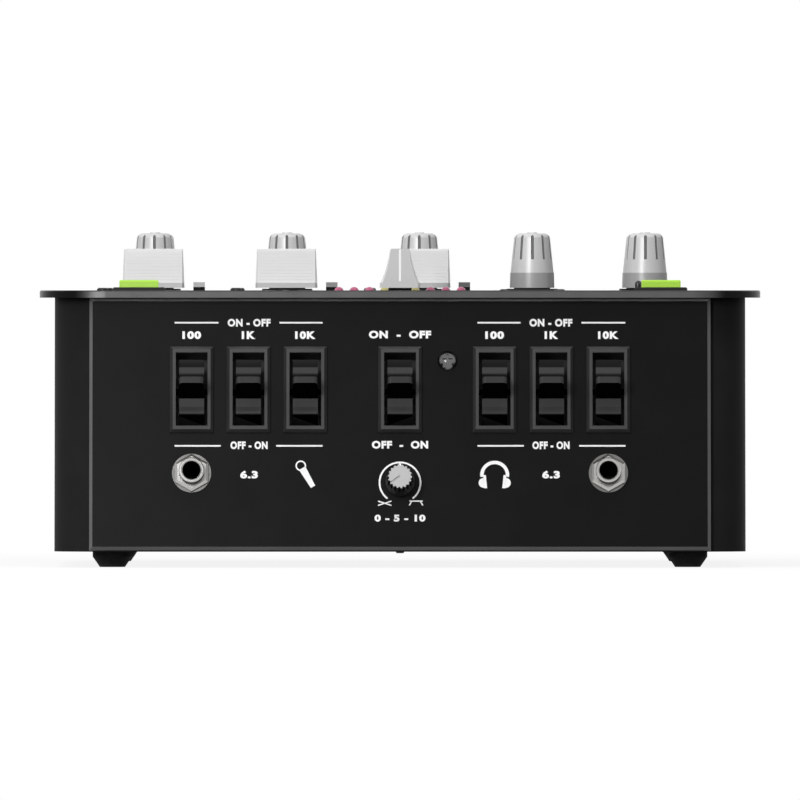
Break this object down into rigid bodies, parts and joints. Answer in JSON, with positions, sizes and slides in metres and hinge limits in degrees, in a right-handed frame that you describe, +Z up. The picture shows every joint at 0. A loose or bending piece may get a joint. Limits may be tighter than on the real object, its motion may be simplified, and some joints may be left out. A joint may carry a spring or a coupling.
{
  "type": "dj mixer",
  "caption": "Table-top DJ mixer with a sloping front panel of paddle rockers and jacks, channel faders, a crossfader, fluted knobs and rear phono sockets.",
  "frame": {"origin": "middle of the outer box, on the surface that the feet stand on", "axes": "+X right seen from the front, +Y towards the rear panel, +Z up"},
  "size_m": [0.254, 0.3307, 0.1182],
  "materials": {
    "case_paint": "satin black",
    "plate_paint": "satin dark grey",
    "rubber": "matt",
    "black_screw": "glossy black",
    "steel": "bright",
    "nickel": "bright",
    "board": "solder mask",
    "black_plastic": "satin",
    "gloss_black": "glossy",
    "knob_silver": "metallic silver paint",
    "cap_silver": "satin light grey",
    "lime": "satin",
    "button_grey": "satin cap on a black plunger",
    "lamp": "unlit tinted lenses, red, yellow and green",
    "insert": "red and white rows"
  },
  "bodies": {
    "case": {"chassis_tray": "case_paint", "front_panel": "case_paint", "rear_panel": "case_paint", "top_plate": "plate_paint", "rubber_feet": "rubber", "top_plate_screws": "black_screw", "pan_head_screws": "black_screw", "front_panel_screw": "black_screw", "main_board": "board", "front_board": "board", "board_standoffs": "steel", "knob_rings": "black_plastic", "control_bodies": "black_plastic", "fader_bodies": "steel", "button_bezels": "black_plastic", "indicator_lamps": "lamp", "rocker_frames": "black_plastic", "rocker_pins": "steel", "jack_sockets": "nickel", "jack_nuts_and_washers": "nickel", "phono_shells": "nickel", "phono_inserts": "insert", "dc_inlet": "black_plastic"},
    "left_rocker_1": {"left_rocker_1": "gloss_black"},
    "left_rocker_2": {"left_rocker_2": "gloss_black"},
    "left_rocker_3": {"left_rocker_3": "gloss_black"},
    "middle_rocker": {"middle_rocker": "gloss_black"},
    "right_rocker_1": {"right_rocker_1": "gloss_black"},
    "right_rocker_2": {"right_rocker_2": "gloss_black"},
    "right_rocker_3": {"right_rocker_3": "gloss_black"},
    "curve_knob": {"curve_knob": "gloss_black"},
    "crossfader": {"crossfader_cap": "cap_silver", "crossfader_carriage": "black_plastic"},
    "fader_1": {"fader_cap_1": "cap_silver", "fader_carriage_1": "black_plastic"},
    "fader_2": {"fader_cap_2": "cap_silver", "fader_carriage_2": "black_plastic"},
    "fader_3": {"fader_cap_3": "cap_silver", "fader_carriage_3": "black_plastic"},
    "green_button_left": {"green_button_left": "lime"},
    "green_button_right": {"green_button_right": "lime"},
    "square_button_1": {"square_button_1": "button_grey"},
    "square_button_2": {"square_button_2": "button_grey"},
    "square_button_3": {"square_button_3": "button_grey"},
    "ground_screw": {"ground_screw": "nickel"},
    "channel_1_low_knob": {"channel_1_low_knob": "knob_silver"},
    "channel_2_low_knob": {"channel_2_low_knob": "knob_silver"},
    "channel_3_low_knob": {"channel_3_low_knob": "knob_silver"},
    "phones_knob_1": {"phones_knob_1": "knob_silver"},
    "master_knob_1": {"master_knob_1": "knob_silver"},
    "channel_1_mid_knob": {"channel_1_mid_knob": "knob_silver"},
    "channel_2_mid_knob": {"channel_2_mid_knob": "knob_silver"},
    "channel_3_mid_knob": {"channel_3_mid_knob": "knob_silver"},
    "phones_knob_2": {"phones_knob_2": "knob_silver"},
    "master_knob_2": {"master_knob_2": "knob_silver"},
    "channel_1_high_knob": {"channel_1_high_knob": "knob_silver"},
    "channel_2_high_knob": {"channel_2_high_knob": "knob_silver"},
    "channel_3_high_knob": {"channel_3_high_knob": "knob_silver"},
    "phones_knob_3": {"phones_knob_3": "knob_silver"},
    "master_knob_3": {"master_knob_3": "knob_silver"}
  },
  "joints": [
    {"name": "left_rocker_1_tilt", "type": "hinge", "parent": "case", "child": "left_rocker_1", "pos_m": [-0.0733, -0.14213, 0.06171], "axis": [1, 0, 0], "range_deg": [0, 12]},
    {"name": "left_rocker_2_tilt", "type": "hinge", "parent": "case", "child": "left_rocker_2", "pos_m": [-0.0533, -0.14213, 0.06171], "axis": [1, 0, 0], "range_deg": [0, 12]},
    {"name": "left_rocker_3_tilt", "type": "hinge", "parent": "case", "child": "left_rocker_3", "pos_m": [-0.0333, -0.14213, 0.06171], "axis": [1, 0, 0], "range_deg": [0, 12]},
    {"name": "middle_rocker_tilt", "type": "hinge", "parent": "case", "child": "middle_rocker", "pos_m": [0, -0.14213, 0.06171], "axis": [1, 0, 0], "range_deg": [0, 12]},
    {"name": "right_rocker_1_tilt", "type": "hinge", "parent": "case", "child": "right_rocker_1", "pos_m": [0.0333, -0.14213, 0.06171], "axis": [1, 0, 0], "range_deg": [0, 12]},
    {"name": "right_rocker_2_tilt", "type": "hinge", "parent": "case", "child": "right_rocker_2", "pos_m": [0.0533, -0.14213, 0.06171], "axis": [1, 0, 0], "range_deg": [0, 12]},
    {"name": "right_rocker_3_tilt", "type": "hinge", "parent": "case", "child": "right_rocker_3", "pos_m": [0.0733, -0.14213, 0.06171], "axis": [1, 0, 0], "range_deg": [0, 12]},
    {"name": "curve_knob_turn", "type": "hinge", "parent": "case", "child": "curve_knob", "pos_m": [0, -0.1521, 0.0299], "axis": [0, 0.9833, -0.1822], "range_deg": [-17, 271]},
    {"name": "crossfader_slide", "type": "slide", "parent": "case", "child": "crossfader", "axis": [1, 0, 0], "range_m": [-0.0225, 0.0225]},
    {"name": "fader_1_slide", "type": "slide", "parent": "case", "child": "fader_1", "axis": [0, 1, 0], "range_m": [-0.0225, 0.0225]},
    {"name": "fader_2_slide", "type": "slide", "parent": "case", "child": "fader_2", "axis": [0, 1, 0], "range_m": [-0.0225, 0.0225]},
    {"name": "fader_3_slide", "type": "slide", "parent": "case", "child": "fader_3", "axis": [0, 1, 0], "range_m": [-0.0225, 0.0225]},
    {"name": "green_button_left_press", "type": "slide", "parent": "case", "child": "green_button_left", "axis": [0, 0, -1], "range_m": [0, 0.001], "stiffness_N_per_m": 600, "springref_m": -0.001},
    {"name": "green_button_right_press", "type": "slide", "parent": "case", "child": "green_button_right", "axis": [0, 0, -1], "range_m": [0, 0.001], "stiffness_N_per_m": 600, "springref_m": -0.001},
    {"name": "square_button_1_press", "type": "slide", "parent": "case", "child": "square_button_1", "axis": [0, 0, -1], "range_m": [0, 0.0015], "stiffness_N_per_m": 500, "springref_m": -0.001},
    {"name": "square_button_2_press", "type": "slide", "parent": "case", "child": "square_button_2", "axis": [0, 0, -1], "range_m": [0, 0.0015], "stiffness_N_per_m": 500, "springref_m": -0.001},
    {"name": "square_button_3_press", "type": "slide", "parent": "case", "child": "square_button_3", "axis": [0, 0, -1], "range_m": [0, 0.0015], "stiffness_N_per_m": 500, "springref_m": -0.001},
    {"name": "ground_screw_turn", "type": "hinge", "parent": "case", "child": "ground_screw", "pos_m": [-0.09605, 0.15585, 0.05], "axis": [0, -1, 0], "range_deg": [-360, 360]},
    {"name": "channel_1_low_knob_turn", "type": "hinge", "parent": "case", "child": "channel_1_low_knob", "pos_m": [-0.0875, 0.01465, 0.0975], "axis": [0, 0, -1], "range_deg": [-140, 140]},
    {"name": "channel_2_low_knob_turn", "type": "hinge", "parent": "case", "child": "channel_2_low_knob", "pos_m": [-0.0403, 0.01465, 0.0975], "axis": [0, 0, -1], "range_deg": [-140, 140]},
    {"name": "channel_3_low_knob_turn", "type": "hinge", "parent": "case", "child": "channel_3_low_knob", "pos_m": [0.0069, 0.01465, 0.0975], "axis": [0, 0, -1], "range_deg": [-140, 140]},
    {"name": "phones_knob_1_turn", "type": "hinge", "parent": "case", "child": "phones_knob_1", "pos_m": [0.0472, 0.01465, 0.0975], "axis": [0, 0, -1], "range_deg": [-140, 140]},
    {"name": "master_knob_1_turn", "type": "hinge", "parent": "case", "child": "master_knob_1", "pos_m": [0.0875, 0.01465, 0.0975], "axis": [0, 0, -1], "range_deg": [-140, 140]},
    {"name": "channel_1_mid_knob_turn", "type": "hinge", "parent": "case", "child": "channel_1_mid_knob", "pos_m": [-0.0875, 0.05265, 0.0975], "axis": [0, 0, -1], "range_deg": [-140, 140]},
    {"name": "channel_2_mid_knob_turn", "type": "hinge", "parent": "case", "child": "channel_2_mid_knob", "pos_m": [-0.0403, 0.05265, 0.0975], "axis": [0, 0, -1], "range_deg": [-140, 140]},
    {"name": "channel_3_mid_knob_turn", "type": "hinge", "parent": "case", "child": "channel_3_mid_knob", "pos_m": [0.0069, 0.05265, 0.0975], "axis": [0, 0, -1], "range_deg": [-140, 140]},
    {"name": "phones_knob_2_turn", "type": "hinge", "parent": "case", "child": "phones_knob_2", "pos_m": [0.0472, 0.05265, 0.0975], "axis": [0, 0, -1], "range_deg": [-140, 140]},
    {"name": "master_knob_2_turn", "type": "hinge", "parent": "case", "child": "master_knob_2", "pos_m": [0.0875, 0.05265, 0.0975], "axis": [0, 0, -1], "range_deg": [-140, 140]},
    {"name": "channel_1_high_knob_turn", "type": "hinge", "parent": "case", "child": "channel_1_high_knob", "pos_m": [-0.0875, 0.09065, 0.0975], "axis": [0, 0, -1], "range_deg": [-140, 140]},
    {"name": "channel_2_high_knob_turn", "type": "hinge", "parent": "case", "child": "channel_2_high_knob", "pos_m": [-0.0403, 0.09065, 0.0975], "axis": [0, 0, -1], "range_deg": [-140, 140]},
    {"name": "channel_3_high_knob_turn", "type": "hinge", "parent": "case", "child": "channel_3_high_knob", "pos_m": [0.0069, 0.09065, 0.0975], "axis": [0, 0, -1], "range_deg": [-140, 140]},
    {"name": "phones_knob_3_turn", "type": "hinge", "parent": "case", "child": "phones_knob_3", "pos_m": [0.0472, 0.09065, 0.0975], "axis": [0, 0, -1], "range_deg": [-140, 140]},
    {"name": "master_knob_3_turn", "type": "hinge", "parent": "case", "child": "master_knob_3", "pos_m": [0.0875, 0.09065, 0.0975], "axis": [0, 0, -1], "range_deg": [-140, 140]}
  ]
}
